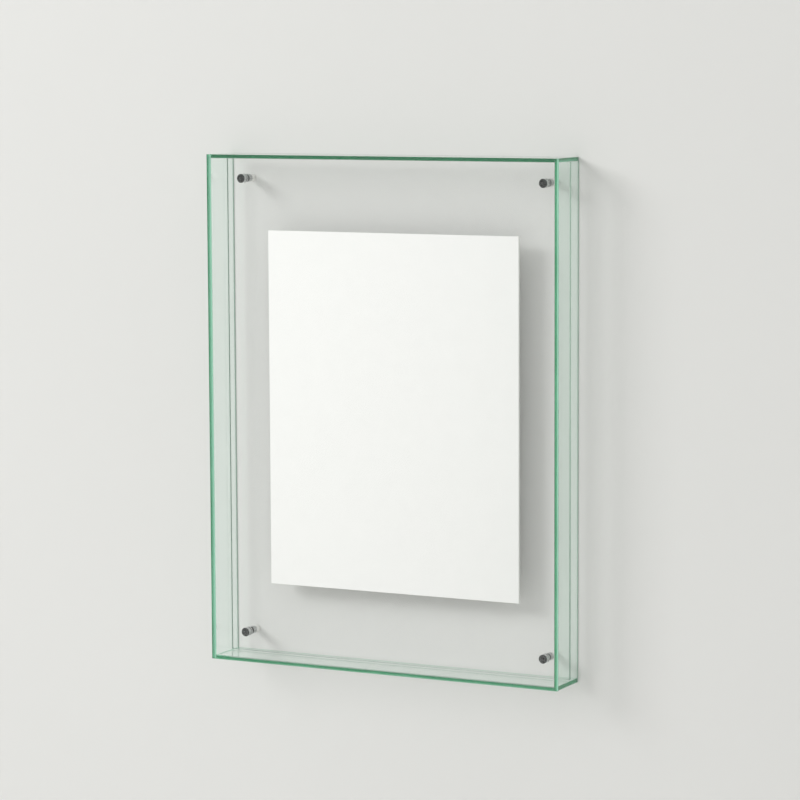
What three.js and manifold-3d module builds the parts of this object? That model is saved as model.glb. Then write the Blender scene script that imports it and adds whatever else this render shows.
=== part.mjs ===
// Acrylic box frame. A clear five-sided cover hangs over a clear backing panel. Four metal
// standoffs hold the panel off the wall, and a print on a board is mounted on its face.
//
// Millimetres. X runs to the right, Y runs into the wall and Z runs up. The wall is the plane
// y = 0, and the origin is the middle of the four standoffs on that plane.

import * as THREE from 'three';
import { mergeVertices } from 'three/addons/utils/BufferGeometryUtils.js';
import Module from 'manifold-3d';

const wasm = await Module();
wasm.setup();

// Cover of cemented acrylic sheets
const COVER_WIDTH = 300;
const COVER_HEIGHT = 400;
const COVER_DEPTH = 40;
const COVER_SHEET = 3;
const EDGE_ARRIS = 0.4;
const CEMENT_LINE = 0.05;

// Backing panel inside the cover
const PANEL_SHEET = 3;
const PANEL_CLEARANCE = 0.5;
const PANEL_HOLE_CLEARANCE = 0.5;
const HANG_GAP = 0.3;

// Standoffs, from the wall to the front
const STANDOFF_DIAMETER = 6;
const STANDOFF_INSET_X = 16.5;
const STANDOFF_INSET_Z = 16;
const FOOT_LENGTH = 5;
const FOOT_STEP = 0.2;
const BARREL_LENGTH = 4.8;
const BARREL_CHAMFER = 0.3;
const WASHER_THICKNESS = 0.5;
const WASHER_STEP = 0.1;
const CAP_DIAMETER = 7;
const CAP_LENGTH = 6.5;
const CAP_CHAMFER = 0.6;
const CAP_REAR_CHAMFER = 0.2;
const GROOVE_FROM_REAR = 2;
const GROOVE_WIDTH = 0.8;
const GROOVE_DEPTH = 0.3;
const SOCKET_ACROSS_FLATS = 2;
const SOCKET_DEPTH = 1.2;
const SOCKET_FLOOR = 0.8;
const SEAT_GAP = 0.05;

// Hanger screws
const STUD_DIAMETER = 3;
const STUD_CLEARANCE = 0.3;
const THREAD_CLEARANCE = 0.15;
const STUD_END_GAP = 0.3;
const STUD_CHAMFER = 0.4;
const SCREW_DIAMETER = 3.5;
const SCREW_LENGTH = 25;
const SCREW_NECK = 1;
const SCREW_POINT = 6;

// Print, its board and the pads that hold it
const PRINT_MARGIN_X = 38.5;
const PRINT_MARGIN_Z = 56.5;
const PRINT_THICKNESS = 0.3;
const BOARD_THICKNESS = 1.4;
const PAD_SIZE = 25;
const PAD_CORNER = 3;
const PAD_THICKNESS = 0.8;
const PAD_INSET = 12;

// Facets on a full turn
const ROUND_FACETS = 24;

// Distances off the wall, layer by layer
const barrelRear = FOOT_LENGTH + SEAT_GAP;
const rearWasherRear = barrelRear + BARREL_LENGTH + SEAT_GAP;
const panelRear = rearWasherRear + WASHER_THICKNESS + SEAT_GAP;
const panelFront = panelRear + PANEL_SHEET;
const frontWasherRear = panelFront + SEAT_GAP;
const capRear = frontWasherRear + WASHER_THICKNESS + SEAT_GAP;
const capFront = capRear + CAP_LENGTH;
const boreFront = capFront - SOCKET_DEPTH - SOCKET_FLOOR;
const studFront = boreFront - STUD_END_GAP;
const padRear = panelFront + SEAT_GAP;
const boardRear = padRear + PAD_THICKNESS + SEAT_GAP;
const printRear = boardRear + BOARD_THICKNESS + SEAT_GAP;

// The walls reach from the front sheet to the wall, and the top and bottom lie between the sides
const wallDepth = COVER_DEPTH - COVER_SHEET - CEMENT_LINE;
const crossLength = COVER_WIDTH - 2 * (COVER_SHEET + CEMENT_LINE);
const sideMiddle = (COVER_WIDTH - COVER_SHEET) / 2;
const crossMiddle = (COVER_HEIGHT - COVER_SHEET) / 2;

// The panel fills the cover but for its clearance, and the cover hangs on the panel's top edge
const panelWidth = COVER_WIDTH - 2 * (COVER_SHEET + PANEL_CLEARANCE);
const panelHeight = COVER_HEIGHT - 2 * (COVER_SHEET + PANEL_CLEARANCE);
const coverDrop = PANEL_CLEARANCE - HANG_GAP;

const standoffX = panelWidth / 2 - STANDOFF_INSET_X;
const standoffZ = panelHeight / 2 - STANDOFF_INSET_Z;
const standoffRadius = STANDOFF_DIAMETER / 2;
const studRadius = STUD_DIAMETER / 2;
const sleeveBore = studRadius + STUD_CLEARANCE;
const printWidth = panelWidth - 2 * PRINT_MARGIN_X;
const printHeight = panelHeight - 2 * PRINT_MARGIN_Z;
const padX = (printWidth - PAD_SIZE) / 2 - PAD_INSET;
const padZ = (printHeight - PAD_SIZE) / 2 - PAD_INSET;

const CORNERS = [
  { corner: 'top_left', right: -1, up: 1 },
  { corner: 'top_right', right: 1, up: 1 },
  { corner: 'bottom_left', right: -1, up: -1 },
  { corner: 'bottom_right', right: 1, up: -1 },
];

const X = new THREE.Vector3(1, 0, 0);
const Y = new THREE.Vector3(0, 1, 0);
const Z = new THREE.Vector3(0, 0, 1);

const FINISHES = {
  acrylic: { color: 0xd3ece0, roughness: 0.05, metalness: 0, transparent: true, opacity: 0.35 },
  paper: { color: 0xf4f4f1, roughness: 0.85, metalness: 0 },
  mountBoard: { color: 0xeeeeea, roughness: 0.9, metalness: 0 },
  padTape: { color: 0xdadcd8, roughness: 0.8, metalness: 0 },
  darkSteel: { color: 0x5c605f, roughness: 0.35, metalness: 0.9 },
  satinSteel: { color: 0xa6a9a8, roughness: 0.35, metalness: 0.9 },
  zincSteel: { color: 0xb4b6b2, roughness: 0.4, metalness: 0.9 },
  paleNylon: { color: 0xe6e7e3, roughness: 0.5, metalness: 0 },
  darkRubber: { color: 0x2b2d2c, roughness: 0.8, metalness: 0 },
  clearVinyl: { color: 0xdfe3df, roughness: 0.3, metalness: 0 },
};

function addPiece(group, name, geometry, finish, x, y, z) {
  const mesh = new THREE.Mesh(geometry, new THREE.MeshStandardMaterial(finish));
  mesh.name = name;
  mesh.position.set(x, y, z);
  group.add(mesh);
}

// A closed geometry as a solid that can be joined and cut, without the slivers on a turned piece's axis
function toSolid(geometry) {
  const bare = geometry.clone();
  bare.deleteAttribute('normal');
  bare.deleteAttribute('uv');
  const merged = mergeVertices(bare, 1e-4);
  const corners = [];
  for (let i = 0; i < merged.index.count; i += 3) {
    const [a, b, c] = merged.index.array.slice(i, i + 3);
    if (a !== b && b !== c && c !== a) {
      corners.push(a, b, c);
    }
  }
  return new wasm.Manifold(new wasm.Mesh({
    numProp: 3,
    vertProperties: new Float32Array(merged.attributes.position.array),
    triVerts: new Uint32Array(corners),
  }));
}

function toGeometry(solid) {
  const { vertProperties, triVerts } = solid.getMesh();
  const geometry = new THREE.BufferGeometry();
  geometry.setAttribute('position', new THREE.BufferAttribute(new Float32Array(vertProperties), 3));
  geometry.setIndex(new THREE.BufferAttribute(new Uint32Array(triVerts), 1));
  geometry.computeVertexNormals();
  return geometry;
}

// A rectangle about its middle. Where isBroken says so, a corner is cut off by the arris.
function rectangle(width, height, isBroken) {
  const quarters = [[-1, -1], [1, -1], [1, 1], [-1, 1]];
  const points = quarters.flatMap(([sideU, sideV]) => {
    const u = sideU * width / 2;
    const v = sideV * height / 2;
    if (!isBroken(sideU, sideV)) {
      return [new THREE.Vector2(u, v)];
    }
    const onUpright = new THREE.Vector2(u, v - sideV * EDGE_ARRIS);
    const onLevel = new THREE.Vector2(u - sideU * EDGE_ARRIS, v);
    return sideU === sideV ? [onUpright, onLevel] : [onLevel, onUpright];
  });
  return new THREE.Shape(points);
}

// A section in the plane of axes u and v, carried square to them about its middle. An arris, where one
// is given, runs round both ends.
function carried(section, distance, u, v, arris = 0) {
  const geometry = new THREE.ExtrudeGeometry(section, {
    depth: distance - 2 * arris,
    curveSegments: ROUND_FACETS / 2,
    bevelEnabled: arris > 0,
    bevelThickness: arris,
    bevelSize: arris,
    bevelOffset: -arris,
    bevelSegments: 1,
  });
  geometry.translate(0, 0, arris - distance / 2);
  const along = new THREE.Vector3().crossVectors(u, v);
  return geometry.applyMatrix4(new THREE.Matrix4().makeBasis(u, v, along));
}

// A profile of [radius, distance off the wall], from front to rear, turned about the standoff's axis
function turned(profile) {
  const points = profile.map(([radius, offWall]) => new THREE.Vector2(radius, -offWall));
  return new THREE.LatheGeometry(points, ROUND_FACETS);
}

// A ring that slips over the stud, with its outer corners broken by a chamfer if one is given
function ring(rear, length, outer, chamfer = 0) {
  const front = rear + length;
  const corners = chamfer > 0
    ? [[outer - chamfer, front], [outer, front - chamfer], [outer, rear + chamfer], [outer - chamfer, rear]]
    : [[outer, front], [outer, rear]];
  return turned([[sleeveBore, front], ...corners, [sleeveBore, rear], [sleeveBore, front]]);
}

// The front sheet covers the front ends of all four walls, and its four front edges have an arris
function coverFront() {
  const acrossWidth = rectangle(COVER_WIDTH, COVER_SHEET, (sideX, sideY) => sideY < 0);
  const acrossHeight = rectangle(COVER_SHEET, COVER_HEIGHT, (sideY) => sideY < 0);
  const plan = toSolid(carried(acrossWidth, COVER_HEIGHT, X, Y));
  const elevation = toSolid(carried(acrossHeight, COVER_WIDTH, Y, Z));
  return toGeometry(plan.intersect(elevation));
}

// A side wall runs the full height, with an arris on both rear edges and on the outer edges of its ends
function coverSide(outward) {
  const acrossSheet = rectangle(COVER_SHEET, wallDepth, (sideX, sideY) => sideY > 0);
  const ends = rectangle(COVER_SHEET, COVER_HEIGHT, (sideX) => sideX === outward);
  const plan = toSolid(carried(acrossSheet, COVER_HEIGHT, X, Y));
  const elevation = toSolid(carried(ends, wallDepth, X, Z));
  return toGeometry(plan.intersect(elevation));
}

// The top and bottom walls lie between the sides, with an arris on both rear edges
function coverCross() {
  const section = rectangle(wallDepth, COVER_SHEET, (sideY) => sideY > 0);
  return carried(section, crossLength, Y, Z);
}

// The backing panel has a clearance hole for each stud, and an arris on every edge
function backingPanel() {
  const outline = rectangle(panelWidth, panelHeight, () => false);
  CORNERS.forEach(({ right, up }) => {
    const hole = new THREE.Path();
    hole.absarc(right * standoffX, up * standoffZ, studRadius + PANEL_HOLE_CLEARANCE, 0, 2 * Math.PI, true);
    outline.holes.push(hole);
  });
  return carried(outline, PANEL_SHEET, X, Z, EDGE_ARRIS);
}

// A square pad of double-sided tape with round corners
function mountingPad() {
  const reach = PAD_SIZE / 2;
  const inner = reach - PAD_CORNER;
  const outline = new THREE.Shape();
  outline.absarc(inner, -inner, PAD_CORNER, -Math.PI / 2, 0);
  outline.absarc(inner, inner, PAD_CORNER, 0, Math.PI / 2);
  outline.absarc(-inner, inner, PAD_CORNER, Math.PI / 2, Math.PI);
  outline.absarc(-inner, -inner, PAD_CORNER, Math.PI, 3 * Math.PI / 2);
  return carried(outline, PAD_THICKNESS, X, Z);
}

// A hanger screw: a machine-thread end that carries the standoff, and a pointed wood-screw end in the wall
function stud() {
  const screwRadius = SCREW_DIAMETER / 2;
  return turned([
    [0, studFront],
    [studRadius - STUD_CHAMFER, studFront],
    [studRadius, studFront - STUD_CHAMFER],
    [studRadius, 0],
    [screwRadius, -SCREW_NECK],
    [screwRadius, SCREW_POINT - SCREW_LENGTH],
    [0, -SCREW_LENGTH],
  ]);
}

// The cap is a blind nut with a chamfered face, a grip groove round it and a hexagon socket for a key
function capNut() {
  const radius = CAP_DIAMETER / 2;
  const bore = studRadius + THREAD_CLEARANCE;
  const grooveMiddle = capRear + GROOVE_FROM_REAR;
  const grooveFloor = radius - GROOVE_DEPTH;
  const body = toSolid(turned([
    [0, capFront],
    [radius - CAP_CHAMFER, capFront],
    [radius, capFront - CAP_CHAMFER],
    [radius, grooveMiddle + GROOVE_WIDTH / 2],
    [grooveFloor, grooveMiddle + GROOVE_WIDTH / 4],
    [grooveFloor, grooveMiddle - GROOVE_WIDTH / 4],
    [radius, grooveMiddle - GROOVE_WIDTH / 2],
    [radius, capRear + CAP_REAR_CHAMFER],
    [radius - CAP_REAR_CHAMFER, capRear],
    [bore, capRear],
    [bore, boreFront],
    [0, boreFront],
  ]));
  const socketRadius = SOCKET_ACROSS_FLATS / Math.sqrt(3);
  const socket = new THREE.CylinderGeometry(socketRadius, socketRadius, 2 * SOCKET_DEPTH, 6);
  socket.translate(0, -capFront, 0);
  return toGeometry(body.subtract(toSolid(socket)));
}

function cover() {
  const group = new THREE.Group();
  const frontMiddle = COVER_SHEET / 2 - COVER_DEPTH;
  const wallMiddle = -wallDepth / 2;
  addPiece(group, 'cover_front', coverFront(), FINISHES.acrylic, 0, frontMiddle, 0);
  addPiece(group, 'cover_left', coverSide(-1), FINISHES.acrylic, -sideMiddle, wallMiddle, 0);
  addPiece(group, 'cover_right', coverSide(1), FINISHES.acrylic, sideMiddle, wallMiddle, 0);
  addPiece(group, 'cover_top', coverCross(), FINISHES.acrylic, 0, wallMiddle, crossMiddle);
  addPiece(group, 'cover_bottom', coverCross(), FINISHES.acrylic, 0, wallMiddle, -crossMiddle);
  group.position.z = -coverDrop;
  return group;
}

function mountedPrint() {
  const group = new THREE.Group();
  const board = new THREE.BoxGeometry(printWidth, BOARD_THICKNESS, printHeight);
  const sheet = new THREE.BoxGeometry(printWidth, PRINT_THICKNESS, printHeight);
  addPiece(group, 'mount_board', board, FINISHES.mountBoard, 0, -boardRear - BOARD_THICKNESS / 2, 0);
  addPiece(group, 'print_sheet', sheet, FINISHES.paper, 0, -printRear - PRINT_THICKNESS / 2, 0);
  CORNERS.forEach(({ corner, right, up }) => {
    const name = `mounting_pad_${corner}`;
    const middle = -padRear - PAD_THICKNESS / 2;
    addPiece(group, name, mountingPad(), FINISHES.padTape, right * padX, middle, up * padZ);
  });
  return group;
}

function standoff({ corner, right, up }) {
  const group = new THREE.Group();
  const washerRadius = standoffRadius - WASHER_STEP;
  const foot = ring(0, FOOT_LENGTH, standoffRadius - FOOT_STEP);
  const barrel = ring(barrelRear, BARREL_LENGTH, standoffRadius, BARREL_CHAMFER);
  const rearWasher = ring(rearWasherRear, WASHER_THICKNESS, washerRadius);
  const frontWasher = ring(frontWasherRear, WASHER_THICKNESS, washerRadius);
  const layers = {
    stud: [stud(), FINISHES.zincSteel],
    foot: [foot, FINISHES.paleNylon],
    barrel: [barrel, FINISHES.satinSteel],
    rear_washer: [rearWasher, FINISHES.darkRubber],
    front_washer: [frontWasher, FINISHES.clearVinyl],
    cap_nut: [capNut(), FINISHES.darkSteel],
  };
  Object.entries(layers).forEach(([name, [geometry, finish]]) => {
    addPiece(group, `${name}_${corner}`, geometry, finish, 0, 0, 0);
  });
  group.position.set(right * standoffX, 0, up * standoffZ);
  return group;
}

const boxFrame = new THREE.Group();
boxFrame.add(cover());
addPiece(boxFrame, 'backing_panel', backingPanel(), FINISHES.acrylic, 0, -(panelRear + panelFront) / 2, 0);
boxFrame.add(mountedPrint());
boxFrame.add(...CORNERS.map(standoff));

export default boxFrame;
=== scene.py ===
"""Looks of an acrylic box frame: polished sheets, turned standoffs, a mounted print and a studio wall.

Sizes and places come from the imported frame. Every surface is worked out with numpy in metres, in the frame's
own axes: X to the right, Y into the wall and Z up.
"""
import math

import bpy
import numpy as np
from bpy.props import FloatProperty, FloatVectorProperty, IntProperty, PointerProperty
from mathutils import Matrix, Vector


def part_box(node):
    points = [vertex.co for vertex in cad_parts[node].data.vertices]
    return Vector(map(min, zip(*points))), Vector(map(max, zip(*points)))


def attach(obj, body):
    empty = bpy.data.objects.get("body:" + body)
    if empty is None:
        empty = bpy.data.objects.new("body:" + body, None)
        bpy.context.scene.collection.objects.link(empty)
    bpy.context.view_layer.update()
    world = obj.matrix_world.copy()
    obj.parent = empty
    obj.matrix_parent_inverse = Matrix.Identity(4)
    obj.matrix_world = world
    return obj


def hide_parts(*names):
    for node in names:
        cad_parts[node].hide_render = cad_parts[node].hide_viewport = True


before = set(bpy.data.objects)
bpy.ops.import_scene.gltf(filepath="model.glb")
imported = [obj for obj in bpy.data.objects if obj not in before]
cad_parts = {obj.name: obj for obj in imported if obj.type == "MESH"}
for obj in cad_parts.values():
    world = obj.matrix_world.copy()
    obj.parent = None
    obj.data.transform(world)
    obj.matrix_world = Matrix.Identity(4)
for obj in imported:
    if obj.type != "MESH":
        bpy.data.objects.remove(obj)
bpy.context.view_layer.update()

bl_info = {
    "name": "Acrylic Box Frame",
    "version": (1, 0, 0),
    "blender": (4, 5, 0),
    "location": "View3D > Sidebar > Box Frame",
    "description": "Makes the visible pieces of a clear acrylic box frame on wall standoffs",
    "category": "Object",
}

MM = 0.001
X, Y, Z = 0, 1, 2
LOW, HIGH = 0, 1
CORNERS = ("top_left", "top_right", "bottom_left", "bottom_right")
BOX_CORNERS = (np.arange(8)[:, None] >> np.arange(3)) & 1
COLOUR = {"subtype": "COLOR", "min": 0.0, "max": 1.0}
ACRYLIC_IOR = 1.49

# Edges of a kind of piece that bend by more than these angles stay sharp
SHEET_BEND = math.radians(1)
PAPER_BEND = math.radians(20)
TURNED_BEND = math.radians(40)
STAGE_BEND = math.pi

# Most of a noise's values lie in the first range, and nearly all in the second
NOISE_SPAN = (0.3, 0.7)
WIDE_SPAN = (0.25, 0.75)


class AcrylicSettings(bpy.types.PropertyGroup):
    """Sizes and colours of the clear sheets."""

    tint: FloatVectorProperty(
        name="Tint", description="Colour that light takes on inside", default=(0.30, 0.90, 0.66), **COLOUR
    )
    depth_of_tint: FloatProperty(
        name="Depth of tint", description="How much light the sheets take, per metre", min=0.0, default=1.5
    )
    wall_colour: FloatVectorProperty(
        name="Wall colour", description="Colour of the cover's side walls", default=(0.88, 0.98, 0.93), **COLOUR
    )
    # Painted light: a paler copy of the wall colour for the left sheet, where the main light falls.
    painted_lit_wall_colour: FloatVectorProperty(
        name="Lit wall", description="Colour of the side wall in the light", default=(0.93, 1.0, 0.97), **COLOUR
    )
    # The deep and pale greens are the ends of the edge films' tones, which paint light and shade along with the
    # edges' green.
    front_deep: FloatVectorProperty(
        name="Deep front", description="Deepest green in the front edges", default=(0.0, 0.22, 0.085), **COLOUR
    )
    front_pale: FloatVectorProperty(
        name="Pale front", description="Palest green in the front edges", default=(0.50, 1.0, 0.76), **COLOUR
    )
    # The rear tones are painted shade for the dark where rear edges meet the wall; on the panel's edges they
    # also paint its light.
    rear_deep: FloatVectorProperty(
        name="Deep rear", description="Deepest tone in the rear edges", default=(0.09, 0.18, 0.135), **COLOUR
    )
    rear_pale: FloatVectorProperty(
        name="Pale rear", description="Palest tone in the rear edges", default=(0.43, 0.58, 0.49), **COLOUR
    )
    edge_inset: FloatProperty(
        name="Edge inset", description="From a sheet's side to its film", unit="LENGTH", default=0.15 * MM
    )
    edge_margin: FloatProperty(
        name="Edge margin", description="From a sheet's faces to its film", unit="LENGTH", default=0.3 * MM
    )
    edge_film: FloatProperty(
        name="Edge film", description="Thickness of an edge's film of colour", unit="LENGTH", default=0.05 * MM
    )
    arris: FloatProperty(
        name="Arris", description="Radius of the broken edges", unit="LENGTH", default=0.4 * MM
    )
    bond: FloatProperty(
        name="Bond",
        description="How far a cemented end runs into its neighbour, to leave no air",
        unit="LENGTH",
        default=0.05 * MM,
    )


class StandoffSettings(bpy.types.PropertyGroup):
    """Sizes and colours of the standoffs and their screws."""

    facets: IntProperty(name="Facets", description="Steps on a full turn", min=24, default=96)
    edge: FloatProperty(
        name="Edge", description="Softness of the turned edges", unit="LENGTH", default=0.12 * MM
    )
    chamfer: FloatProperty(
        name="Chamfer", description="Bevel round the cap's face", unit="LENGTH", default=0.6 * MM
    )
    groove_from_rear: FloatProperty(
        name="Groove", description="From the cap's rear to its grip groove", unit="LENGTH", default=2.0 * MM
    )
    groove_width: FloatProperty(
        name="Groove width", description="Width of the grip groove", unit="LENGTH", default=0.8 * MM
    )
    groove_depth: FloatProperty(
        name="Groove depth", description="Depth of the grip groove", unit="LENGTH", default=0.3 * MM
    )
    socket_flats: FloatProperty(
        name="Socket", description="Across the flats of the key socket", unit="LENGTH", default=2.0 * MM
    )
    socket_depth: FloatProperty(
        name="Socket depth", description="Depth of the key socket", unit="LENGTH", default=1.2 * MM
    )
    socket_floor: FloatProperty(
        name="Socket floor", description="Metal between socket and bore", unit="LENGTH", default=0.8 * MM
    )
    thread_clearance: FloatProperty(
        name="Thread clearance", description="Cap's bore over the stud", unit="LENGTH", default=0.15 * MM
    )
    sleeve_clearance: FloatProperty(
        name="Sleeve clearance", description="Sleeves' bores over the stud", unit="LENGTH", default=0.3 * MM
    )
    stud_diameter: FloatProperty(
        name="Stud", description="Diameter of the machine thread", unit="LENGTH", default=3.0 * MM
    )
    stud_pitch: FloatProperty(
        name="Stud pitch", description="Travel of the machine thread in a turn", unit="LENGTH", default=0.5 * MM
    )
    screw_pitch: FloatProperty(
        name="Screw pitch", description="Travel of the wood thread in a turn", unit="LENGTH", default=1.6 * MM
    )
    cap_steel: FloatVectorProperty(
        name="Cap steel", description="Steel round the caps", default=(0.60, 0.61, 0.61), **COLOUR
    )
    # The cap face colour is painted shade: it stands for the dark reflection on the caps' fronts.
    cap_face_shade: FloatVectorProperty(
        name="Cap face", description="Shaded face of the caps", default=(0.06, 0.064, 0.064), **COLOUR
    )
    barrel_steel: FloatVectorProperty(
        name="Barrel steel", description="Satin steel of the barrels", default=(0.48, 0.49, 0.49), **COLOUR
    )
    screw_zinc: FloatVectorProperty(
        name="Screw zinc", description="Zinc plate of the screws", default=(0.62, 0.63, 0.60), **COLOUR
    )
    nylon: FloatVectorProperty(
        name="Nylon", description="Pale plastic of the feet", default=(0.80, 0.80, 0.77), **COLOUR
    )
    rubber: FloatVectorProperty(
        name="Rubber", description="Rubber of the rear washers", default=(0.05, 0.05, 0.05), **COLOUR
    )
    vinyl: FloatVectorProperty(
        name="Vinyl", description="Soft plastic of the front washers", default=(0.78, 0.80, 0.78), **COLOUR
    )


class PrintSettings(bpy.types.PropertyGroup):
    """Colours of the print, its board and the pads that hold it."""

    paper: FloatVectorProperty(
        name="Paper", description="Bare paper of the print", default=(0.93, 0.93, 0.915), **COLOUR
    )
    liner: FloatVectorProperty(
        name="Liner", description="Paper skins of the board", default=(0.86, 0.86, 0.84), **COLOUR
    )
    core: FloatVectorProperty(
        name="Core", description="Cut core of the board", default=(0.80, 0.80, 0.77), **COLOUR
    )
    pad: FloatVectorProperty(
        name="Pad", description="Foam tape of the pads", default=(0.74, 0.75, 0.73), **COLOUR
    )
    liner_thickness: FloatProperty(
        name="Liner thickness", description="Paper skin on each face", unit="LENGTH", default=0.2 * MM
    )
    core_recess: FloatProperty(
        name="Core recess", description="How far the knife drew the core in", unit="LENGTH", default=0.04 * MM
    )


class StageSettings(bpy.types.PropertyGroup):
    """The wall, the floor, the lamp, the sky and the camera."""

    wall: FloatVectorProperty(
        name="Wall", description="Paint on the wall", default=(0.715, 0.715, 0.70), **COLOUR
    )
    wall_gap: FloatProperty(
        name="Wall gap", description="From the frame's back to the wall", unit="LENGTH", default=0.3 * MM
    )
    floor_level: FloatProperty(name="Floor", description="Height of the floor", unit="LENGTH", default=-1.1)
    key_from: FloatVectorProperty(
        name="Key", description="Direction that the main light comes from", default=(-1.15, -1.0, 0.76)
    )
    key_distance: FloatProperty(
        name="Key distance", description="To the main light", unit="LENGTH", default=4.5
    )
    key_width: FloatProperty(
        name="Key width", description="Width of the main light", unit="LENGTH", default=1.6
    )
    key_length: FloatProperty(
        name="Key length", description="Length of the main light", unit="LENGTH", default=1.8
    )
    key_power: FloatProperty(
        name="Key power", description="Power of the main light", unit="POWER", default=112.0
    )
    sky_front: FloatProperty(name="Front light", description="Light from straight in front", default=0.38)
    sky_side: FloatProperty(name="Side light", description="Light from all round", default=0.97)
    camera_place: FloatVectorProperty(
        name="Camera", description="Where the camera stands", subtype="XYZ", default=(1.0966, -2.1561, 0.2791)
    )
    camera_turn: FloatProperty(
        name="Turn", description="Camera's turn to the left", subtype="ANGLE", default=math.radians(26.99)
    )
    camera_dip: FloatProperty(
        name="Dip", description="Camera's dip below level", subtype="ANGLE", default=math.radians(6.359)
    )
    camera_roll: FloatProperty(
        name="Roll", description="Camera's roll", subtype="ANGLE", default=math.radians(-0.268)
    )
    lens: FloatProperty(name="Lens", description="Focal length in millimetres", default=140.83)


class BoxFrameSettings(bpy.types.PropertyGroup):
    """Everything that a user would change."""

    acrylic: PointerProperty(type=AcrylicSettings, name="Acrylic")
    standoff: PointerProperty(type=StandoffSettings, name="Standoffs")
    print: PointerProperty(type=PrintSettings, name="Print")
    stage: PointerProperty(type=StageSettings, name="Stage")


# Places of nodes


def node_box(node):
    """A node's lowest and highest corners, as arrays."""
    low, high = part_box(node)
    return np.array(low), np.array(high)


def node_axis(node):
    """The line along Y through the middle of a node, as (x, z)."""
    low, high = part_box(node)
    return (low.x + high.x) / 2, (low.z + high.z) / 2


def node_reach(node):
    """A turned node's radius and the y of its front and rear."""
    low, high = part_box(node)
    return (high.z - low.z) / 2, low.y, high.y


# Surfaces


def angles(facets):
    """Even steps round a full turn, in radians."""
    return np.linspace(0, 2 * math.pi, facets, endpoint=False)


def ring_faces(rows, columns, closed):
    """Quads between rows of points, where each row is a ring. The last row joins the first if closed."""
    row, column = np.meshgrid(np.arange(rows if closed else rows - 1), np.arange(columns), indexing="ij")
    below, across = (row + 1) % rows, (column + 1) % columns
    corners = (row, column), (below, column), (below, across), (row, across)
    return np.stack([r * columns + c for r, c in corners], axis=-1).reshape(-1, 4)


def make_object(name, points, faces, sharp_angle):
    """A smooth mesh object at the origin. Edges that bend by more than the angle stay sharp."""
    mesh = bpy.data.meshes.new(name)
    mesh.from_pydata(points.reshape(-1, 3).tolist(), [], [list(map(int, face)) for face in faces])
    mesh.polygons.foreach_set("use_smooth", np.ones(len(mesh.polygons), bool))
    mesh.set_sharp_from_angle(angle=sharp_angle)
    piece = bpy.data.objects.new(name, mesh)
    bpy.context.scene.collection.objects.link(piece)
    return piece


def set_attribute(piece, name, kind, values):
    """Stores one value for each point, under a name that the materials read."""
    key = "vector" if kind == "FLOAT_VECTOR" else "value"
    attribute = piece.data.attributes.new(name, kind, "POINT")
    attribute.data.foreach_set(key, np.ascontiguousarray(values, dtype=np.float32).ravel())


def finish_piece(piece, material, body, slot, *nodes):
    """Gives a piece its material and its body, and hides the nodes that it stands for. The slot is not used."""
    piece.data.materials.append(material)
    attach(piece, body)
    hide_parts(*nodes)


def arris_inset(depth, radius):
    """How far a rounded edge lies in, at a depth below the face: r - sqrt(r^2 - (r - depth)^2)."""
    if radius == 0:
        return np.zeros_like(depth)
    rest = np.clip(radius - depth, 0, radius)
    return radius - np.sqrt(radius**2 - rest**2)


def stack_surface(low, high, axis, depth, insets):
    """Rectangles stacked along an axis, at depths below the low face, with both ends closed.

    insets gives, for each (across axis, LOW or HIGH side), how far that side lies in at each depth.
    """
    rows = np.empty((len(depth), 4, 3))
    rows[:, :, axis] = low[axis] + depth[:, None]
    orders = {(axis + 1) % 3: (LOW, HIGH, HIGH, LOW), (axis + 2) % 3: (LOW, LOW, HIGH, HIGH)}
    for across, order in orders.items():
        reach = low[across] + insets[across, LOW], high[across] - insets[across, HIGH]
        rows[:, :, across] = np.stack([reach[side] for side in order], axis=1)
    sides = ring_faces(len(depth), 4, closed=False)[:, ::-1]
    last = 4 * (len(depth) - 1)
    return rows, [*sides, (3, 2, 1, 0), (last, last + 1, last + 2, last + 3)]


def sheet_surface(low, high, axis, radii, steps):
    """A flat sheet as a stack of rectangles through its thickness, which lies along the axis.

    Near each face the sides of the rectangles draw in along a quarter circle. radii gives its radius for a
    pair of (across axis, LOW or HIGH side), as (radius at the low face, radius at the high face).
    """
    broadest = max(max(pair) for pair in radii.values())
    fall = broadest * (1 - np.cos(np.linspace(0, math.pi / 2, steps + 1)))
    depth = np.concatenate([fall, (high - low)[axis] - fall[::-1]])
    insets = {}
    for side, (at_low, at_high) in radii.items():
        insets[side] = arris_inset(depth, at_low) + arris_inset(depth[::-1], at_high)
    return stack_surface(low, high, axis, depth, insets)


def boxes_surface(lows, highs):
    """Closed boxes between pairs of opposite corners. A corner's three bits say where it takes the high one."""
    points = np.where(BOX_CORNERS[None], np.array(highs)[:, None], np.array(lows)[:, None])
    sides = np.array([(0, 4, 6, 2), (1, 3, 7, 5), (0, 1, 5, 4), (2, 6, 7, 3), (0, 2, 3, 1), (4, 5, 7, 6)])
    faces = sides[None] + 8 * np.arange(len(lows))[:, None, None]
    return points, faces.reshape(-1, 4)


def even(tone):
    """One tone all over a film, in the form that edge_films takes."""
    return X, tone, tone


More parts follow.
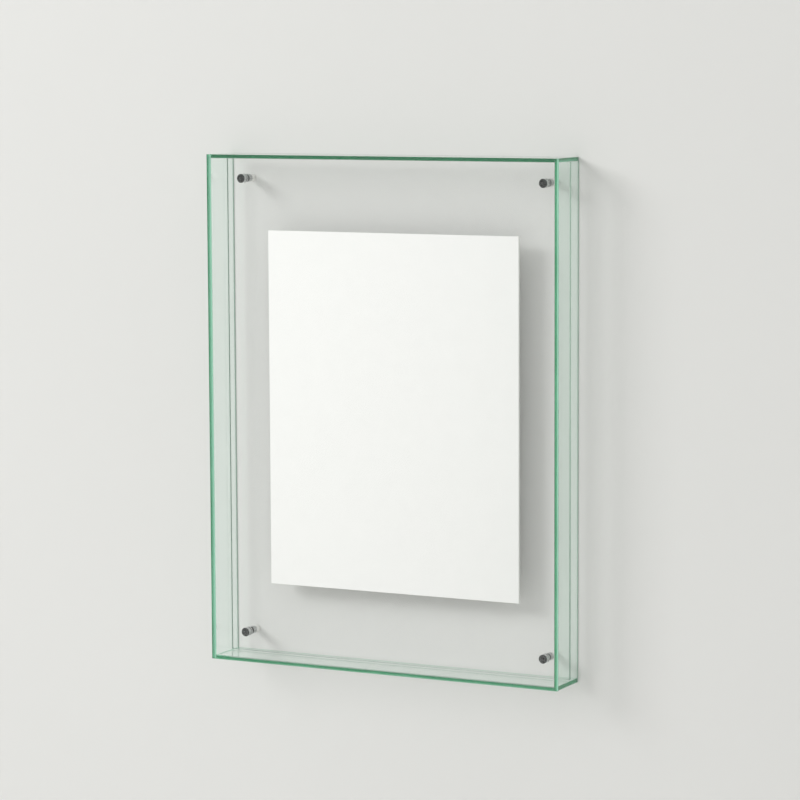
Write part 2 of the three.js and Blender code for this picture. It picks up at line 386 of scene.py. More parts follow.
def edge_films(name, edges, settings, material, body):
    """Thin films just inside the narrow sides of sheets, as one mesh with a tone from 0, deep, to 1, pale.

    edges gives each sheet's node, its thickness axis and, for each (across axis, LOW or HIGH side), the axis
    that the tone changes along with its values at the low and the high end. A film that stops short of the
    high end has the length that is left off as a fourth value.
    """
    lows, highs, tones = [], [], []
    for node, axis, sides in edges:
        for (side_axis, side), (tone_axis, first, last, *left_off) in sides.items():
            low, high = node_box(node)
            along = X + Y + Z - axis - side_axis
            low[[axis, along]] += settings.edge_margin
            high[[axis, along]] -= settings.edge_margin
            high[tone_axis] -= sum(left_off)
            if side == LOW:
                low[side_axis] += settings.edge_inset
                high[side_axis] = low[side_axis] + settings.edge_film
            else:
                high[side_axis] -= settings.edge_inset
                low[side_axis] = high[side_axis] - settings.edge_film
            lows.append(low)
            highs.append(high)
            tones.append(np.take([first, last], BOX_CORNERS[:, tone_axis]))
    films = make_object(name, *boxes_surface(lows, highs), SHEET_BEND)
    set_attribute(films, "tone", "FLOAT", np.concatenate(tones))
    finish_piece(films, material, body, "clear_acrylic")


def softened(profile, radius, steps, closed):
    """A profile with its corners rounded: each corner P becomes the curve (1-t)^2 A + 2t(1-t) P + t^2 B.

    A and B lie on the two sides of the corner, a radius away or half the side's length if that is less.
    """
    profile = np.array(profile, float)
    before, after = np.roll(profile, 1, axis=0) - profile, np.roll(profile, -1, axis=0) - profile
    length_before = np.linalg.norm(before, axis=1, keepdims=True)
    length_after = np.linalg.norm(after, axis=1, keepdims=True)
    start = profile + before * np.minimum(0.5, radius / length_before)
    end = profile + after * np.minimum(0.5, radius / length_after)
    t = np.linspace(0, 1, steps + 1)[:, None, None]
    curve = (1 - t) ** 2 * start + 2 * t * (1 - t) * profile + t**2 * end
    curve = curve.transpose(1, 0, 2)
    if closed:
        return curve.reshape(-1, 2)
    return np.concatenate([profile[:1], curve[1:-1].reshape(-1, 2), profile[-1:]])


def turned_surface(name, profile, node, facets, closed, swell=1.0):
    """A profile of (radius, y) from front to rear, turned about the node's line along Y through (x, z).

    A point is (x + r cos a, y, z + r sin a), and swell is r's factor for each row and angle. A closed profile
    makes a ring. An open one starts and ends on the axis, where its poles are single points. The attribute
    turning holds cos a, sin a and the way along the profile in millimetres.
    """
    x, z = node_axis(node)
    profile = np.array(profile, float)
    cos, sin = np.cos(angles(facets)), np.sin(angles(facets))
    along = np.concatenate([[0], np.cumsum(np.linalg.norm(np.diff(profile, axis=0), axis=1))]) / MM
    kept = slice(None) if closed else slice(1, -1)
    rows = profile[kept]
    radius = rows[:, :1] * (swell * np.ones(facets))
    places = np.broadcast_arrays(x + radius * cos, rows[:, 1:], z + radius * sin)
    points = np.stack(places, axis=-1).reshape(-1, 3)
    turning = np.stack(np.broadcast_arrays(cos, sin, along[kept, None]), axis=-1).reshape(-1, 3)
    faces = list(ring_faces(len(rows), facets, closed))
    if not closed:
        here = np.arange(facets)
        across = (here + 1) % facets
        last = (len(rows) - 1) * facets
        front, rear = len(points), len(points) + 1
        points = np.concatenate([points, [[x, profile[0, 1], z], [x, profile[-1, 1], z]]])
        turning = np.concatenate([turning, [[0, 0, along[0]], [0, 0, along[-1]]]])
        faces += list(np.stack([np.full(facets, front), here, across], axis=1))
        faces += list(np.stack([np.full(facets, rear), last + across, last + here], axis=1))
    piece = make_object(name, points, faces, TURNED_BEND)
    set_attribute(piece, "turning", "FLOAT_VECTOR", turning)
    return piece


# Nodes of materials


def new_material(name):
    """A material with one Principled shader, its node tree and that shader."""
    material = bpy.data.materials.new(name)
    material.use_nodes = True
    tree = material.node_tree
    return material, tree, tree.nodes["Principled BSDF"]


def feed(tree, node, values):
    """Gives a node's inputs, by name or number, their values: another node's output or a plain one."""
    for key, value in values.items():
        if isinstance(value, bpy.types.NodeSocket):
            tree.links.new(value, node.inputs[key])
        else:
            node.inputs[key].default_value = value


def add_node(tree, kind, values=None, **properties):
    """A new node with its properties set and then its inputs fed."""
    node = tree.nodes.new(kind)
    for name, value in properties.items():
        setattr(node, name, value)
    feed(tree, node, values or {})
    return node


def math_node(tree, operation, *values):
    """The result of a sum on values, each a socket or a number."""
    return add_node(tree, "ShaderNodeMath", dict(enumerate(values)), operation=operation).outputs[0]


def map_range(tree, value, from_low, from_high, to_low, to_high):
    """A value carried from one range to another, and held inside it."""
    values = {"Value": value, "From Min": from_low, "From Max": from_high, "To Min": to_low, "To Max": to_high}
    return add_node(tree, "ShaderNodeMapRange", values).outputs["Result"]


def blend(tree, factor, first, second):
    """A mix of two colours by a factor that is held between 0 and 1."""
    values = {"Factor": factor, "A": first, "B": second}
    return add_node(tree, "ShaderNodeMix", values, data_type="RGBA", clamp_factor=True).outputs["Result"]


def shade(tree, amount, colour, darker, lighter):
    """A colour that runs between a darker and a lighter share of itself with an amount from 0 to 1."""
    dark = [c * darker for c in colour]
    light = [min(1, c * lighter) for c in colour]
    return blend(tree, amount, (*dark, 1), (*light, 1))


def split_xyz(tree, vector):
    """The three numbers of a vector, as outputs named X, Y and Z."""
    return add_node(tree, "ShaderNodeSeparateXYZ", {0: vector}).outputs


def bump(tree, height, strength, distance):
    """The normal of a relief whose height from 0 to 1 stands for a distance in metres."""
    values = {"Height": height, "Strength": strength, "Distance": distance}
    return add_node(tree, "ShaderNodeBump", values).outputs["Normal"]


def let_through(tree, shader, which, share=(1, 1, 1, 1)):
    """Lets the rays for which a value is 1 go straight through a surface, with a share of their light."""
    clear = add_node(tree, "ShaderNodeBsdfTransparent", {"Color": share})
    values = {"Fac": which, 1: shader.outputs["BSDF"], 2: clear.outputs["BSDF"]}
    mixed = add_node(tree, "ShaderNodeMixShader", values)
    feed(tree, tree.nodes["Material Output"], {"Surface": mixed.outputs["Shader"]})


def new_group(name, inputs, outputs):
    """An empty shader group with number inputs, given with their defaults, and number outputs."""
    group = bpy.data.node_groups.new(name, "ShaderNodeTree")
    for label, default in inputs.items():
        socket = group.interface.new_socket(label, in_out="INPUT", socket_type="NodeSocketFloat")
        socket.default_value = default
    for label in outputs:
        group.interface.new_socket(label, in_out="OUTPUT", socket_type="NodeSocketFloat")
    return group, group.nodes.new("NodeGroupInput"), group.nodes.new("NodeGroupOutput")


def turning_lines_group():
    """Fine lathe lines: noise on the attribute turning, long round the axis and short along the profile."""
    if "turning_lines" in bpy.data.node_groups:
        return bpy.data.node_groups["turning_lines"]
    group, given, result = new_group("turning_lines", {"Lines per mm": 18.0, "Waver": 0.6}, ["Lines"])
    turning = add_node(group, "ShaderNodeAttribute", attribute_name="turning")
    split = split_xyz(group, turning.outputs["Vector"])
    join = add_node(group, "ShaderNodeCombineXYZ")
    for axis, scale in (("X", "Waver"), ("Y", "Waver"), ("Z", "Lines per mm")):
        feed(group, join, {axis: math_node(group, "MULTIPLY", split[axis], given.outputs[scale])})
    noise = add_node(group, "ShaderNodeTexNoise", {"Vector": join.outputs[0], "Scale": 1.0, "Detail": 2.0})
    feed(group, result, {"Lines": noise.outputs["Fac"]})
    return group


def mottle_group():
    """Soft uneven tone and a fine grain, both from noise on Object coordinates. Sizes are in millimetres."""
    if "mottle" in bpy.data.node_groups:
        return bpy.data.node_groups["mottle"]
    group, given, result = new_group("mottle", {"Cloud size": 20.0, "Grain size": 0.3}, ["Cloud", "Grain"])
    place = add_node(group, "ShaderNodeTexCoord").outputs["Object"]
    for size, output, detail in (("Cloud size", "Cloud", 3.0), ("Grain size", "Grain", 4.0)):
        scale = math_node(group, "DIVIDE", 1 / MM, given.outputs[size])
        noise = add_node(group, "ShaderNodeTexNoise", {"Vector": place, "Scale": scale, "Detail": detail})
        feed(group, result, {output: noise.outputs["Fac"]})
    return group


def place_mottle(tree, cloud_size, grain_size=0.3):
    """The mottle group in a material, as its outputs Cloud and Grain."""
    sizes = {"Cloud size": cloud_size, "Grain size": grain_size}
    return add_node(tree, "ShaderNodeGroup", sizes, node_tree=mottle_group()).outputs


# Materials


def acrylic_material(name, settings, colour, lamp_share):
    """Clear cast acrylic with a colour of its own, and a green that grows with the light's way inside.

    Lamps and soft light go straight through. Each surface passes the given share of a lamp's light, and all of
    the soft light, because what the sheets turn back comes round again inside the box.
    """
    material, tree, shader = new_material(name)
    glass = {"Transmission Weight": 1.0, "IOR": ACRYLIC_IOR, "Roughness": 0.0}
    feed(tree, shader, {"Base Color": (*colour, 1), **glass})
    path = add_node(tree, "ShaderNodeLightPath").outputs
    passing = math_node(tree, "MAXIMUM", path["Is Shadow Ray"], path["Is Diffuse Ray"])
    let_through(tree, shader, passing, map_range(tree, path["Is Shadow Ray"], 0, 1, 1, lamp_share))
    green = {"Color": (*settings.tint, 1), "Density": settings.depth_of_tint}
    volume = add_node(tree, "ShaderNodeVolumeAbsorption", green)
    feed(tree, tree.nodes["Material Output"], {"Volume": volume.outputs["Volume"]})
    return material


def edge_green_and_light_material(name, deep, pale, shadow=True):
    """A sawn edge: the film's tone from deep to pale paints the edge's green together with light and shade, with
    saw grain and slow changes along it.

    Without a shadow the film lets lamps through, as the light that comes out of a lit edge fills its shadow.
    """
    material, tree, shader = new_material(name)
    own = add_node(tree, "ShaderNodeAttribute", attribute_name="tone")
    mottle = place_mottle(tree, cloud_size=45.0, grain_size=0.6)
    change = map_range(tree, mottle["Cloud"], *WIDE_SPAN, -0.08, 0.08)
    grain = map_range(tree, mottle["Grain"], *WIDE_SPAN, -0.05, 0.05)
    tone = math_node(tree, "ADD", own.outputs["Fac"], math_node(tree, "ADD", change, grain))
    paint = blend(tree, tone, (*deep, 1), (*pale, 1))
    gloss = map_range(tree, mottle["Grain"], *NOISE_SPAN, 0.35, 0.6)
    feed(tree, shader, {"Base Color": paint, "Roughness": gloss, "Specular IOR Level": 0.0})
    if not shadow:
        let_through(tree, shader, add_node(tree, "ShaderNodeLightPath").outputs["Is Shadow Ray"])
    return material


def turned_steel(name, colour, roughness, lines_per_mm, face=None):
    """Turned metal whose tone and relief follow the lathe lines. A face, if given, is the front's colour:
    painted shade for the dark reflection that the front shows.
    """
    material, tree, shader = new_material(name)
    turning = add_node(tree, "ShaderNodeGroup", {"Lines per mm": lines_per_mm}, node_tree=turning_lines_group())
    lines = turning.outputs["Lines"]
    cloud = place_mottle(tree, cloud_size=1.5)["Cloud"]
    tone = math_node(tree, "MULTIPLY_ADD", lines, 0.6, 0.2)
    paint = shade(tree, tone, colour, darker=0.82, lighter=1.15)
    if face is not None:
        # Faces turned to the front take the face colour, a painted reflection darker than the sides.
        normal = split_xyz(tree, add_node(tree, "ShaderNodeTexCoord").outputs["Normal"])
        facing = map_range(tree, normal["Y"], -0.6, -0.4, 1, 0)
        paint = blend(tree, facing, paint, shade(tree, tone, face, darker=0.7, lighter=1.3))
    gloss = map_range(tree, cloud, *NOISE_SPAN, roughness * 0.8, roughness * 1.25)
    relief = bump(tree, lines, strength=0.25, distance=0.01 * MM)
    feed(tree, shader, {"Metallic": 1.0, "Base Color": paint, "Roughness": gloss, "Normal": relief})
    return material


def soft_plastic(name, colour, roughness, grain_size, relief):
    """Moulded plastic, rubber or tape: an even tone with soft clouds and a fine grain."""
    material, tree, shader = new_material(name)
    mottle = place_mottle(tree, cloud_size=2.0, grain_size=grain_size)
    paint = shade(tree, mottle["Cloud"], colour, darker=0.92, lighter=1.06)
    gloss = map_range(tree, mottle["Grain"], *NOISE_SPAN, roughness * 0.85, min(1, roughness * 1.15))
    normal = bump(tree, mottle["Grain"], strength=0.3, distance=relief)
    feed(tree, shader, {"Base Color": paint, "Roughness": gloss, "Normal": normal})
    return material


def paper_material(settings):
    """Heavy uncoated paper with a fine tooth and a hardly seen unevenness of tone."""
    material, tree, shader = new_material("print_paper")
    mottle = place_mottle(tree, cloud_size=14.0, grain_size=0.35)
    paint = shade(tree, mottle["Cloud"], settings.paper, darker=0.985, lighter=1.012)
    gloss = map_range(tree, mottle["Grain"], *NOISE_SPAN, 0.75, 0.9)
    tooth = bump(tree, mottle["Grain"], strength=0.25, distance=0.02 * MM)
    feed(tree, shader, {"Base Color": paint, "Roughness": gloss, "Specular IOR Level": 0.3, "Normal": tooth})
    return material


def board_material(settings, front, rear):
    """Mount board: paper skins near its two faces, and a knife-cut fibre core between them."""
    material, tree, shader = new_material("mount_board")
    skin = settings.liner_thickness
    depth = split_xyz(tree, add_node(tree, "ShaderNodeTexCoord").outputs["Object"])["Y"]
    behind = math_node(tree, "GREATER_THAN", depth, front + skin)
    before = math_node(tree, "LESS_THAN", depth, rear - skin)
    core = math_node(tree, "MULTIPLY", behind, before)
    mottle = place_mottle(tree, cloud_size=1.2, grain_size=0.25)
    liner = shade(tree, mottle["Grain"], settings.liner, darker=0.98, lighter=1.01)
    fibre = shade(tree, mottle["Cloud"], settings.core, darker=0.9, lighter=1.06)
    gloss = map_range(tree, core, 0, 1, 0.75, 0.95)
    height = math_node(tree, "MULTIPLY", mottle["Cloud"], map_range(tree, core, 0, 1, 0.1, 1))
    relief = bump(tree, height, strength=0.4, distance=0.05 * MM)
    feed(tree, shader, {"Base Color": blend(tree, core, liner, fibre), "Roughness": gloss, "Normal": relief})
    return material


def paint_material(name, settings, screened=False):
    """Matt paint that is clear from behind, so that the frame shows from every side.

    Screened paint also lets the first bounce of soft light through, which lights the back of the print.
    """
    material, tree, shader = new_material(name)
    cloud = place_mottle(tree, cloud_size=300.0, grain_size=1.5)["Cloud"]
    paint = shade(tree, cloud, settings.wall, darker=0.985, lighter=1.015)
    feed(tree, shader, {"Base Color": paint, "Roughness": 0.9, "Specular IOR Level": 0.2})
    passing = add_node(tree, "ShaderNodeNewGeometry").outputs["Backfacing"]
    if screened:
        path = add_node(tree, "ShaderNodeLightPath").outputs
        first = math_node(tree, "LESS_THAN", path["Diffuse Depth"], 1.5)
        soft = math_node(tree, "MULTIPLY", path["Is Diffuse Ray"], first)
        passing = math_node(tree, "MAXIMUM", passing, soft)
    let_through(tree, shader, passing)
    return material


# Tones of the edge films, sheet by sheet, in the form that edge_films takes. Besides the green of the sheets'
# edges they paint light and shade, set edge by edge from how the light falls: paler where an edge gathers or
# reflects light, deeper where it is in shade.

FRONT_EDGES = [
    ("cover_front", Y, {(X, LOW): even(0.15), (X, HIGH): even(0.8), (Z, HIGH): even(-0.1)}),
    ("cover_left", X, {(Y, LOW): (X, 0.3, 1.3)}),
    ("cover_right", X, {(Y, LOW): (X, 0, 0.35), (Z, HIGH): even(0)}),
    ("cover_top", Z, {(Y, LOW): even(-0.1), (X, HIGH): (Z, 0.5, 0)}),
]
LIT_EDGES = [
    ("cover_front", Y, {(Z, LOW): even(0.3)}),
    ("cover_left", X, {(Z, LOW): even(0.1), (Z, HIGH): even(0.1)}),
    ("cover_top", Z, {(X, LOW): even(0.5)}),
    ("cover_right", X, {(Z, LOW): even(0.1)}),
    ("cover_bottom", Z, {(Y, LOW): (Z, 0.15, -0.1, 0.6 * MM), (X, LOW): even(0.5), (X, HIGH): even(0.1)}),
]
# Rear films are painted shade: the dark where the cover's rear edges meet the wall behind.
REAR_EDGES = [
    ("cover_left", X, {(Y, HIGH): even(0.3)}),
    ("cover_right", X, {(Y, HIGH): even(0.62)}),
    ("cover_top", Z, {(Y, HIGH): even(0.55)}),
    ("cover_bottom", Z, {(Y, HIGH): even(0.85)}),
]
# The panel's right edge grows paler towards the top: a painted reflection of the light in its polished edge.
PANEL_TONES = {(X, LOW): even(0.35), (X, HIGH): (Z, 0.25, 1.6), (Z, LOW): even(0.1), (Z, HIGH): even(0.6)}
PANEL_EDGES = [("backing_panel", Y, PANEL_TONES)]

# Share of a lamp's light that each surface of a cover sheet passes
LAMP_SHARES = {"front": 0.948, "left": 1.0, "right": 0.87, "top": 0.85, "bottom": 0.95}


# Operators, one for each group of like pieces


class BOXFRAME_OT_cover(bpy.types.Operator):
    """Make the five polished sheets of the cover, cemented at their edges"""

    bl_idname = "box_frame.cover"
    bl_label = "Acrylic cover"

    def execute(self, context):
        settings = context.scene.box_frame.acrylic
        self.make_sheets(settings)
        green = settings.front_deep, settings.front_pale
        front = edge_green_and_light_material("front_edge", *green)
        lit = edge_green_and_light_material("lit_edge", *green, shadow=False)
        rear = edge_green_and_light_material("rear_edge", settings.rear_deep, settings.rear_pale)
        edge_films("cover_front_edges", FRONT_EDGES, settings, front, "cover")
        edge_films("cover_lit_edges", LIT_EDGES, settings, lit, "cover")
        edge_films("cover_rear_edges", REAR_EDGES, settings, rear, "cover")
        return {"FINISHED"}

    def make_sheets(self, settings):
        """Sheets with their outer edges broken. Cemented ends run a little into their neighbours."""
        r, bond = settings.arris, settings.bond
        ends = {(Y, HIGH): (r, r), (Y, LOW): (bond, bond)}
        shapes = {
            "front": (Y, {(across, side): (r, 0) for across in (X, Z) for side in (LOW, HIGH)}),
            "left": (X, {**ends, (Z, LOW): (r, 0), (Z, HIGH): (r, 0)}),
            "right": (X, {**ends, (Z, LOW): (0, r), (Z, HIGH): (0, r)}),
            "top": (Z, {**ends, (X, LOW): (0, bond), (X, HIGH): (0, bond)}),
            "bottom": (Z, {**ends, (X, LOW): (bond, 0), (X, HIGH): (bond, 0)}),
        }
        # The left sheet's paler colour is painted light from the main light falling on it.
        colours = {"front": (1, 1, 1), "left": settings.painted_lit_wall_colour}
        for side, (axis, radii) in shapes.items():
            node = f"cover_{side}"
            low, high = node_box(node)
            if side != "front":
                low[Y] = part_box("cover_front")[HIGH].y - bond
            if side in ("top", "bottom"):
                low[X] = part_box("cover_left")[HIGH].x - bond
                high[X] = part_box("cover_right")[LOW].x + bond
            piece = make_object(f"{side}_sheet", *sheet_surface(low, high, axis, radii, steps=4), SHEET_BEND)
            colour = colours.get(side, settings.wall_colour)
            acrylic = acrylic_material(f"{side}_acrylic", settings, colour, LAMP_SHARES[side])
            finish_piece(piece, acrylic, "cover", "clear_acrylic", node)


class BOXFRAME_OT_panel(bpy.types.Operator):
    """Give the drilled backing panel its clear acrylic"""

    bl_idname = "box_frame.panel"
    bl_label = "Backing panel"

    def execute(self, context):
        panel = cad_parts["backing_panel"]
        panel.data.materials.clear()
        panel.data.materials.append(bpy.data.materials["front_acrylic"])
        settings = context.scene.box_frame.acrylic
        edge_films("panel_edges", PANEL_EDGES, settings, bpy.data.materials["rear_edge"], "backing")
        return {"FINISHED"}


class BOXFRAME_OT_print(bpy.types.Operator):
    """Make the bare print, its mount board and the pads behind it"""

    bl_idname = "box_frame.print"
    bl_label = "Mounted print"

    def execute(self, context):
        settings = context.scene.box_frame.print
        self.make_paper(settings)
        self.make_board(settings)
        self.make_pads(settings)
        return {"FINISHED"}

    def make_paper(self, settings):
        """A sheet whose cut edges are rounded by a quarter of its thickness."""
        low, high = node_box("print_sheet")
        edge = (high[Y] - low[Y]) / 4
        sides = {(across, side): (edge, edge) for across in (X, Z) for side in (LOW, HIGH)}
        paper = make_object("print_paper", *sheet_surface(low, high, Y, sides, steps=3), PAPER_BEND)
        finish_piece(paper, paper_material(settings), "backing", "print_paper", "print_sheet")

    def make_board(self, settings):
        """A board whose core lies in from its two skins, as a knife leaves it: rectangles stacked along Y."""
        low, high = node_box("mount_board")
        skin, recess, thickness = settings.liner_thickness, settings.core_recess, high[Y] - low[Y]
        depth = np.array([0, skin, skin, thickness - skin, thickness - skin, thickness])
        inset = np.array([0, 0, recess, recess, 0, 0])
        insets = {(across, side): inset for across in (X, Z) for side in (LOW, HIGH)}
        board = make_object("print_board", *stack_surface(low, high, Y, depth, insets), PAPER_BEND)
        finish_piece(board, board_material(settings, low[Y], high[Y]), "backing", "mount_board", "mount_board")

    def make_pads(self, settings):
        """Square pads with round corners, |x|^n + |z|^n = 1 with n = 8, that swell in mid thickness."""
        facets, power, layers, drawn_in = 96, 8, 7, 0.03
        tape = soft_plastic("pad_tape", settings.pad, 0.85, grain_size=0.25, relief=0.05 * MM)
        cos, sin = np.abs(np.cos(angles(facets))), np.abs(np.sin(angles(facets)))
        squared = (cos**power + sin**power) ** (-1 / power)
        level = np.linspace(0, 1, layers)
        for corner in CORNERS:
            node = f"mounting_pad_{corner}"
            low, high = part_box(node)
            reach = (high.x - low.x) / 2 * (1 - drawn_in * (2 * level - 1) ** 2)
            profile = [(0, low.y), *zip(reach, low.y + level * (high.y - low.y)), (0, high.y)]
            pad = turned_surface(f"pad_{corner}", profile, node, facets, closed=False, swell=squared)
            finish_piece(pad, tape, "backing", "pad_tape", node)


class BOXFRAME_OT_caps(bpy.types.Operator):
    """Make the turned caps, each with a grip groove and a key socket"""

    bl_idname = "box_frame.caps"
    bl_label = "Cap nuts"

    def execute(self, context):
        settings = context.scene.box_frame.standoff
        steel = turned_steel("dark_steel", settings.cap_steel, 0.28, lines_per_mm=16, face=settings.cap_face_shade)
        for corner in CORNERS:
            node = f"cap_nut_{corner}"
            piece = self.make_cap(f"cap_{corner}", node, settings)
            finish_piece(piece, steel, f"cap_{corner}", "dark_steel", node)
        return {"FINISHED"}

    def make_cap(self, name, node, settings):
        """One grid from the socket's floor, over the face and the groove, to the end of the blind bore.

        The socket's rows are hexagons: r = flats / 2 / cos(a mod 60 - 30), with a in degrees.
        """
        mouth_edge, floor_edge, floor_share = 0.1 * MM, 0.05 * MM, 0.96
        drill_point, rear_edge, groove_floor = 0.3 * MM, 0.2 * MM, 0.5
        radius, front, rear = node_reach(node)
        flats, chamfer = settings.socket_flats / 2, settings.chamfer
        floor = front + settings.socket_depth
        bore = settings.stud_diameter / 2 + settings.thread_clearance
        bore_end = floor + settings.socket_floor
        middle = rear - settings.groove_from_rear
        half, deep = settings.groove_width / 2, settings.groove_depth
        socket = [
            (0, floor + drill_point),
            (flats * floor_share, floor),
            (flats, floor - floor_edge),
            (flats, front + mouth_edge),
            (flats + mouth_edge, front),
        ]
        outside = [
            (flats + 2 * mouth_edge, front),
            (radius - chamfer, front),
            (radius, front + chamfer),
            (radius, middle - half),
            (radius - deep, middle - half * groove_floor),
            (radius - deep, middle + half * groove_floor),
            (radius, middle + half),
            (radius, rear - rear_edge),
            (radius - rear_edge, rear),
            (bore, rear),
            (bore, bore_end),
            (0, bore_end),
        ]
        profile = np.concatenate([socket, softened(outside, settings.edge, steps=3, closed=False)])
        hexagon = 1 / np.cos(np.mod(angles(settings.facets), math.pi / 3) - math.pi / 6)
        swell = np.ones((len(profile) - 2, settings.facets))
        swell[: len(socket) - 1] = hexagon
        return turned_surface(name, profile, node, settings.facets, closed=False, swell=swell)


class BOXFRAME_OT_sleeves(bpy.types.Operator):
    """Make the barrels, feet and washers that slip over each stud"""

    bl_idname = "box_frame.sleeves"
    bl_label = "Barrels, feet and washers"

    def execute(self, context):
        settings = context.scene.box_frame.standoff
        steel = turned_steel("satin_steel", settings.barrel_steel, 0.3, lines_per_mm=14)
        nylon = soft_plastic("pale_nylon", settings.nylon, 0.45, grain_size=0.2, relief=0.01 * MM)
        rubber = soft_plastic("dark_rubber", settings.rubber, 0.8, grain_size=0.1, relief=0.02 * MM)
        vinyl = soft_plastic("clear_vinyl", settings.vinyl, 0.3, grain_size=0.2, relief=0.01 * MM)
        self.make_rings("barrel", steel, "satin_steel", settings, edge=0.3 * MM)
        self.make_rings("foot", nylon, "pale_nylon", settings, edge=0.25 * MM)
        self.make_rings("rear_washer", rubber, "dark_rubber", settings, edge=0.2 * MM)
        self.make_rings("front_washer", vinyl, "clear_vinyl", settings, edge=0.2 * MM)
        return {"FINISHED"}

    def make_rings(self, kind, material, slot, settings, edge):
        """A ring at each corner: a rectangle with softened corners, turned about the stud."""
        bore = settings.stud_diameter / 2 + settings.sleeve_clearance
        for corner in CORNERS:
            node = f"{kind}_{corner}"
            radius, front, rear = node_reach(node)
            section = [(bore, front), (radius, front), (radius, rear), (bore, rear)]
            profile = softened(section, edge, steps=4, closed=True)
            piece = turned_surface(f"{kind}_ring_{corner}", profile, node, settings.facets, closed=True)
            body = f"washer_{corner}" if kind == "front_washer" else "backing"
            finish_piece(piece, material, body, slot, node)


class BOXFRAME_OT_studs(bpy.types.Operator):
    """Make the hanger screws: a machine thread in front and a pointed wood thread behind"""

    bl_idname = "box_frame.studs"
    bl_label = "Hanger screws"

    def execute(self, context):
        settings = context.scene.box_frame.standoff
        zinc = turned_steel("zinc_steel", settings.screw_zinc, 0.35, lines_per_mm=8)
        for corner in CORNERS:
            node = f"stud_{corner}"
            piece = self.make_stud(f"hanger_screw_{corner}", node, settings)
            finish_piece(piece, zinc, "backing", "zinc_steel", node)
        return {"FINISHED"}

    def make_stud(self, name, node, settings):
        """A rod whose radius rides up and down with the thread's phase: y / pitch + a / 360 degrees.

        The machine thread is a triangle wave that starts with a bevel, and the wood thread a narrow ridge on a
        core that tapers to a point. Behind the wall plane it grows out of the machine thread's root.
        """
        facets, machine_step, wood_step, last_step = 48, 0.06 * MM, 0.12 * MM, 0.02 * MM
        deep, ridge_share, core_share = 0.31 * MM, 0.22, 0.68
        point, blunt, run_in = 7 * MM, 0.04, 1.5 * MM
        bevel_depth, bevel_rise, nose = 0.4 * MM, 0.5 * MM, 0.001 * MM
        screw_radius, front, rear = node_reach(node)
        stud_radius, core = settings.stud_diameter / 2, core_share * screw_radius
        steps = np.arange(front, 0, machine_step), np.arange(0, rear, wood_step), [rear - last_step]
        y = np.concatenate(steps)[:, None]
        turn = angles(facets) / (2 * math.pi)
        machine = stud_radius - deep * np.abs(2 * np.mod(y / settings.stud_pitch + turn, 1) - 1)
        wood_phase = np.mod(y / settings.screw_pitch + turn, 1)
        ridge = np.clip(1 - np.abs(wood_phase - 0.5) / ridge_share, 0, 1)
        taper = np.clip((rear - y) / point, blunt, 1)
        start = np.clip(y / run_in, 0, 1)
        wood = taper * (core + (screw_radius - core) * ridge * start)
        wood = np.where(start < 1, (1 - start) * (stud_radius - deep) + start * wood, wood)
        lead = np.clip((y - front) / bevel_rise, 0, 1)
        radius = np.minimum(np.where(y < 0, machine, wood), (stud_radius - bevel_depth) + lead * bevel_rise)
        rows = np.concatenate([np.ones_like(y), y], axis=1)
        profile = np.concatenate([[(0, front - nose)], rows, [(0, rear)]])
        return turned_surface(name, profile, node, facets, closed=False, swell=radius)


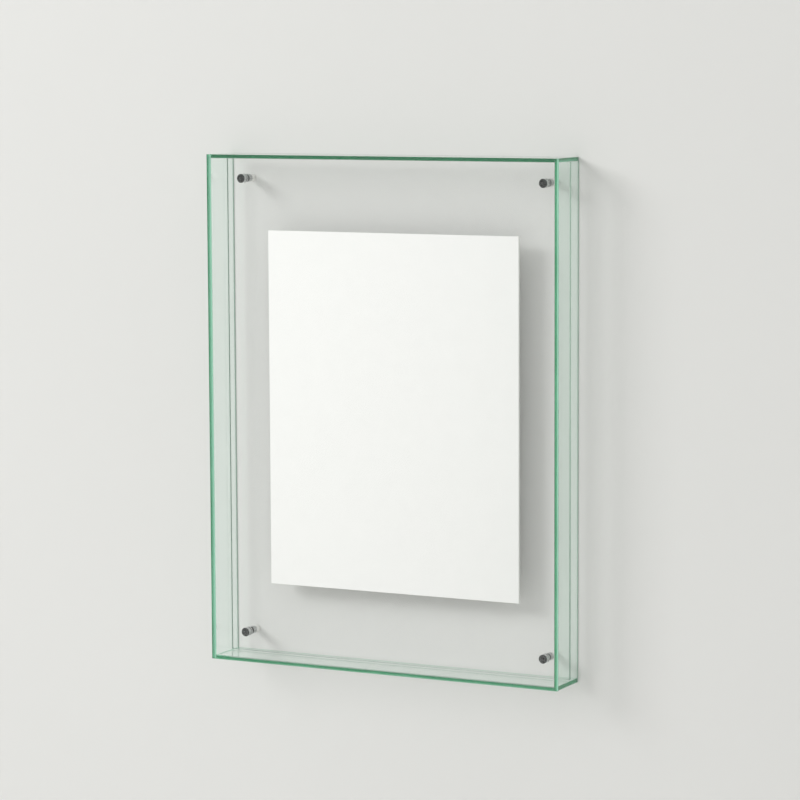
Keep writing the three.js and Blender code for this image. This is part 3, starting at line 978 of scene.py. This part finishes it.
class BOXFRAME_OT_stage(bpy.types.Operator):
    """Set up the wall, the floor, the lamp, the sky and the camera"""

    bl_idname = "box_frame.stage"
    bl_label = "Studio wall"

    def execute(self, context):
        settings = context.scene.box_frame.stage
        paint = paint_material("wall_paint", settings)
        self.make_floor(settings, paint)
        self.make_wall(settings, paint)
        self.make_lamp(context, settings)
        self.make_sky(context, settings)
        self.make_camera(context, settings)
        context.scene.view_settings.view_transform = "Standard"
        cycles = context.scene.cycles
        cycles.max_bounces = 40
        cycles.glossy_bounces = cycles.transmission_bounces = cycles.transparent_max_bounces = 32
        return {"FINISHED"}

    def make_floor(self, settings, paint):
        """One level square."""
        reach, level = 60.0, settings.floor_level
        ground = [(-reach, -reach, level), (reach, -reach, level), (reach, reach, level), (-reach, reach, level)]
        floor = make_object("floor", np.array(ground), [(0, 1, 2, 3)], STAGE_BEND)
        floor.data.materials.append(paint)

    def make_wall(self, settings, paint):
        """Two rectangles, one inside the other. The inner one, behind the print, lets soft light through."""
        reach, beyond = 6.0, 0.01
        low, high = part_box("mount_board")
        left, right = [-reach, low.x - beyond], [reach, high.x + beyond]
        bottom, top = [settings.floor_level, low.z - beyond], [reach, high.z + beyond]
        rows = np.full((2, 4, 3), settings.wall_gap)
        rows[:, :, X] = np.stack([left, right, right, left], axis=1)
        rows[:, :, Z] = np.stack([bottom, bottom, top, top], axis=1)
        faces = [*ring_faces(2, 4, closed=False)[:, ::-1], (4, 5, 6, 7)]
        wall = make_object("wall", rows, faces, STAGE_BEND)
        wall.data.materials.append(paint)
        wall.data.materials.append(paint_material("screened_paint", settings, screened=True))
        wall.data.polygons.foreach_set("material_index", np.array([0, 0, 0, 0, 1], np.int32))

    def make_lamp(self, context, settings):
        """A broad light to the upper left, whose own picture stays out of the sheets' reflections."""
        data = bpy.data.lights.new("key", "AREA")
        data.shape = "RECTANGLE"
        data.size = settings.key_width
        data.size_y = settings.key_length
        data.energy = settings.key_power
        lamp = bpy.data.objects.new("key", data)
        lamp.visible_glossy = lamp.visible_transmission = False
        context.scene.collection.objects.link(lamp)
        towards = Vector(settings.key_from).normalized()
        across = towards.cross(Vector((0, -1, 0))).normalized()
        turn = Matrix((across, towards.cross(across), towards)).transposed()
        lamp.matrix_world = Matrix.Translation(towards * settings.key_distance) @ turn.to_4x4()

    def make_sky(self, context, settings):
        """Even light from all round that is weaker straight in front, so that metal faces stay dark."""
        world = bpy.data.worlds.new("studio")
        world.use_nodes = True
        world.cycles.sampling_method = "NONE"
        context.scene.world = world
        tree = world.node_tree
        direction = split_xyz(tree, add_node(tree, "ShaderNodeTexCoord").outputs["Generated"])
        strength = map_range(tree, direction["Y"], -0.95, -0.5, settings.sky_front, settings.sky_side)
        feed(tree, tree.nodes["Background"], {"Color": (1, 1, 0.99, 1), "Strength": strength})

    def make_camera(self, context, settings):
        """A camera that is turned, dipped and rolled as the photograph's was."""
        data = bpy.data.cameras.new("camera")
        data.lens = settings.lens
        camera = bpy.data.objects.new("camera", data)
        context.scene.collection.objects.link(camera)
        turn = Matrix.Rotation(settings.camera_turn, 4, "Z")
        dip = Matrix.Rotation(math.pi / 2 - settings.camera_dip, 4, "X")
        roll = Matrix.Rotation(settings.camera_roll, 4, "Z")
        camera.matrix_world = Matrix.Translation(settings.camera_place) @ turn @ dip @ roll
        context.scene.camera = camera


class BOXFRAME_PT_panel(bpy.types.Panel):
    """Lists the steps that make the frame"""

    bl_label = "Acrylic Box Frame"
    bl_space_type = "VIEW_3D"
    bl_region_type = "UI"
    bl_category = "Box Frame"

    def draw(self, context):
        for operator in OPERATORS:
            self.layout.operator(operator.bl_idname)


SETTINGS = (AcrylicSettings, StandoffSettings, PrintSettings, StageSettings, BoxFrameSettings)
OPERATORS = (
    BOXFRAME_OT_stage,
    BOXFRAME_OT_cover,
    BOXFRAME_OT_panel,
    BOXFRAME_OT_print,
    BOXFRAME_OT_caps,
    BOXFRAME_OT_sleeves,
    BOXFRAME_OT_studs,
)


def register():
    for item in (*SETTINGS, *OPERATORS, BOXFRAME_PT_panel):
        bpy.utils.register_class(item)
    bpy.types.Scene.box_frame = PointerProperty(type=BoxFrameSettings)


def unregister():
    del bpy.types.Scene.box_frame
    for item in reversed((*SETTINGS, *OPERATORS, BOXFRAME_PT_panel)):
        bpy.utils.unregister_class(item)


def main():
    register()
    bpy.ops.box_frame.stage()
    bpy.ops.box_frame.cover()
    bpy.ops.box_frame.panel()
    bpy.ops.box_frame.print()
    bpy.ops.box_frame.caps()
    bpy.ops.box_frame.sleeves()
    bpy.ops.box_frame.studs()


if __name__ == "__main__":
    main()
